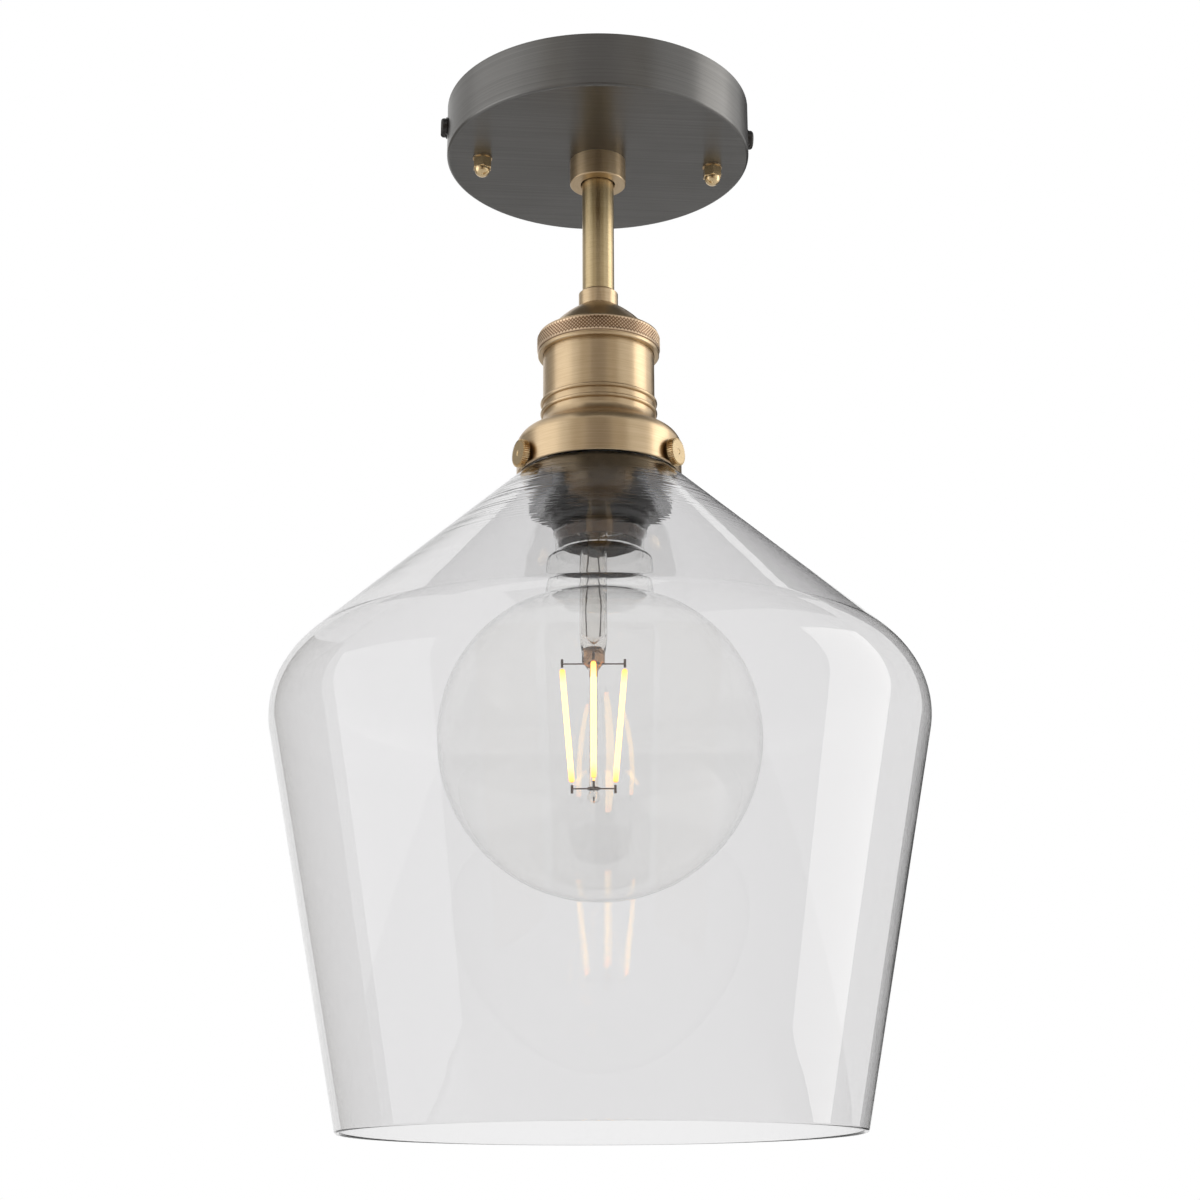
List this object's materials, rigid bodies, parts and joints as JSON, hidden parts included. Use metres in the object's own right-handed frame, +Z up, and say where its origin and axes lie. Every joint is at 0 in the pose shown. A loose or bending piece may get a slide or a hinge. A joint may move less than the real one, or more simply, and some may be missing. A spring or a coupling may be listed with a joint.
{
  "type": "schoolhouse flush mount light",
  "caption": "Ceiling light with a round rose, a short stem, a brass screw-cap lampholder with a skirted gallery, a smoke glass schoolhouse shade and a globe bulb.",
  "frame": {"origin": "middle of the mounting bracket's top face, which lies on the ceiling", "axes": "+Z up into the ceiling along the lamp's axis, +X along the bracket towards its right-hand side screw"},
  "size_m": [0.2526, 0.2526, 0.4161],
  "materials": {
    "zinc_steel": "zinc plated, satin",
    "pewter": "dark pewter, fine spun brushing under clear lacquer",
    "antique_brass": "antique brushed, lacquered",
    "bare_brass": "bare turned brass",
    "black_steel": "black oxide, satin",
    "terminal_plastic": "moulded, translucent white",
    "black_moulding": "glossy black thermoset moulding",
    "gasket_rubber": "soft black rubber",
    "soft_pad": "natural nylon",
    "brown_wire": "heat-resistant sleeve, brown",
    "blue_wire": "heat-resistant sleeve, blue",
    "earth_green_wire": "sleeve, green and yellow",
    "smoke_glass": "blown smoke-grey glass, fire-polished rim",
    "bulb_clear_glass": "clear blown glass",
    "bulb_cap_metal": "rolled nickel-brass cap, bronze tint",
    "bulb_insulator_glass": "black fused glass insulator",
    "filament_phosphor": "phosphor-coated filament, lit warm white",
    "filament_wire": "drawn wire",
    "driver_board": "circuit board with parts"
  },
  "bodies": {
    "root": {"mounting_bracket": "zinc_steel", "bracket_studs": "zinc_steel", "bracket_stud_nuts": "zinc_steel", "ceiling_rose": "pewter", "terminal_block": "terminal_plastic", "terminal_inserts": "bare_brass", "terminal_screws": "bare_brass", "block_screws": "zinc_steel", "earth_lug": "zinc_steel", "earth_screw": "bare_brass", "earth_wire": "earth_green_wire", "live_wire": "brown_wire", "neutral_wire": "blue_wire", "threaded_tube": "zinc_steel", "rose_lock_washer": "zinc_steel", "rose_lock_nut": "zinc_steel", "holder_lock_nut": "zinc_steel", "top_collar": "antique_brass", "stem_tube": "antique_brass", "low_collar": "antique_brass", "holder_cap": "antique_brass", "holder_shell": "antique_brass", "gallery": "antique_brass", "gallery_nut": "antique_brass", "gallery_gasket": "gasket_rubber", "socket_barrel": "black_moulding", "socket_base": "black_moulding", "holder_terminals": "bare_brass", "holder_terminal_screws": "bare_brass", "socket_screw_shell": "bare_brass", "centre_contact": "bare_brass", "contact_screw": "zinc_steel", "socket_ring": "black_moulding"},
    "shade": {"glass_shade": "smoke_glass"},
    "bulb_lift": {"bulb_contact": "bulb_cap_metal"},
    "bulb": {"bulb_glass": "bulb_clear_glass", "bulb_cap": "bulb_cap_metal", "bulb_insulator": "bulb_insulator_glass", "bulb_stem": "bulb_clear_glass", "bulb_driver": "driver_board", "bulb_leads": "filament_wire", "filament_spider_top": "filament_wire", "filament_spider_foot": "filament_wire", "bulb_filaments": "filament_phosphor"},
    "cap_washer_left": {"cap_nut_washer_left": "antique_brass"},
    "cap_nut_left": {"cap_nut_left": "antique_brass"},
    "cap_washer_right": {"cap_nut_washer_right": "antique_brass"},
    "cap_nut_right": {"cap_nut_right": "antique_brass"},
    "side_washer_left": {"side_screw_washer_left": "black_steel"},
    "side_screw_left": {"side_screw_left": "black_steel"},
    "side_washer_right": {"side_screw_washer_right": "black_steel"},
    "side_screw_right": {"side_screw_right": "black_steel"},
    "thumb_pad_1": {"thumb_screw_pad_1": "soft_pad"},
    "thumb_screw_1": {"thumb_screw_1": "antique_brass"},
    "thumb_pad_2": {"thumb_screw_pad_2": "soft_pad"},
    "thumb_screw_2": {"thumb_screw_2": "antique_brass"},
    "thumb_pad_3": {"thumb_screw_pad_3": "soft_pad"},
    "thumb_screw_3": {"thumb_screw_3": "antique_brass"}
  },
  "joints": [
    {"name": "shade_drop", "type": "slide", "parent": "root", "child": "shade", "axis": [0, 0, -1], "range_m": [0, 0.04]},
    {"name": "bulb_drop", "type": "slide", "parent": "root", "child": "bulb_lift", "axis": [0, 0, -1], "range_m": [0, 0.01997]},
    {"name": "bulb_turn", "type": "hinge", "parent": "bulb_lift", "child": "bulb", "pos_m": [0, 0, -0.157], "axis": [0, 0, -1], "range_deg": [0, 1980]},
    {"name": "cap_nut_left_drop", "type": "slide", "parent": "root", "child": "cap_washer_left", "axis": [0, 0, -1], "range_m": [0, 0.0049]},
    {"name": "cap_nut_left_turn", "type": "hinge", "parent": "cap_washer_left", "child": "cap_nut_left", "pos_m": [-0.048, 0, -0.0233], "axis": [0, 0, -1], "range_deg": [0, 2520]},
    {"name": "cap_nut_right_drop", "type": "slide", "parent": "root", "child": "cap_washer_right", "axis": [0, 0, -1], "range_m": [0, 0.0049]},
    {"name": "cap_nut_right_turn", "type": "hinge", "parent": "cap_washer_right", "child": "cap_nut_right", "pos_m": [0.048, 0, -0.0233], "axis": [0, 0, -1], "range_deg": [0, 2520]},
    {"name": "side_screw_left_out", "type": "slide", "parent": "root", "child": "side_washer_left", "axis": [-1, 0, 0], "range_m": [0, 0.0042]},
    {"name": "side_screw_left_turn", "type": "hinge", "parent": "side_washer_left", "child": "side_screw_left", "pos_m": [-0.0632, 0, -0.0096], "axis": [-1, 0, 0], "range_deg": [0, 2160]},
    {"name": "side_screw_right_out", "type": "slide", "parent": "root", "child": "side_washer_right", "axis": [1, 0, 0], "range_m": [0, 0.0042]},
    {"name": "side_screw_right_turn", "type": "hinge", "parent": "side_washer_right", "child": "side_screw_right", "pos_m": [0.0632, 0, -0.0096], "axis": [1, 0, 0], "range_deg": [0, 2160]},
    {"name": "thumb_screw_1_out", "type": "slide", "parent": "root", "child": "thumb_pad_1", "axis": [0.1045, 0.9945, 0], "range_m": [0, 0.0028]},
    {"name": "thumb_screw_1_turn", "type": "hinge", "parent": "thumb_pad_1", "child": "thumb_screw_1", "pos_m": [0.0035, 0.03332, -0.1581], "axis": [0.1045, 0.9945, 0], "range_deg": [0, 1440]},
    {"name": "thumb_screw_2_out", "type": "slide", "parent": "root", "child": "thumb_pad_2", "axis": [-0.9135, -0.4067, 0], "range_m": [0, 0.0028]},
    {"name": "thumb_screw_2_turn", "type": "hinge", "parent": "thumb_pad_2", "child": "thumb_screw_2", "pos_m": [-0.0306, -0.01363, -0.1581], "axis": [-0.9135, -0.4067, 0], "range_deg": [0, 1440]},
    {"name": "thumb_screw_3_out", "type": "slide", "parent": "root", "child": "thumb_pad_3", "axis": [0.809, -0.5878, 0], "range_m": [0, 0.0028]},
    {"name": "thumb_screw_3_turn", "type": "hinge", "parent": "thumb_pad_3", "child": "thumb_screw_3", "pos_m": [0.0271, -0.01969, -0.1581], "axis": [0.809, -0.5878, 0], "range_deg": [0, 1440]}
  ],
  "couplings": [
    {"joint": "bulb_turn", "follows": "bulb_drop", "rad_per_m": 1730.9},
    {"joint": "cap_nut_left_turn", "follows": "cap_nut_left_drop", "rad_per_m": 8976},
    {"joint": "cap_nut_right_turn", "follows": "cap_nut_right_drop", "rad_per_m": 8976},
    {"joint": "side_screw_left_turn", "follows": "side_screw_left_out", "rad_per_m": 8976},
    {"joint": "side_screw_right_turn", "follows": "side_screw_right_out", "rad_per_m": 8976},
    {"joint": "thumb_screw_1_turn", "follows": "thumb_screw_1_out", "rad_per_m": 8976},
    {"joint": "thumb_screw_2_turn", "follows": "thumb_screw_2_out", "rad_per_m": 8976},
    {"joint": "thumb_screw_3_turn", "follows": "thumb_screw_3_out", "rad_per_m": 8976}
  ]
}
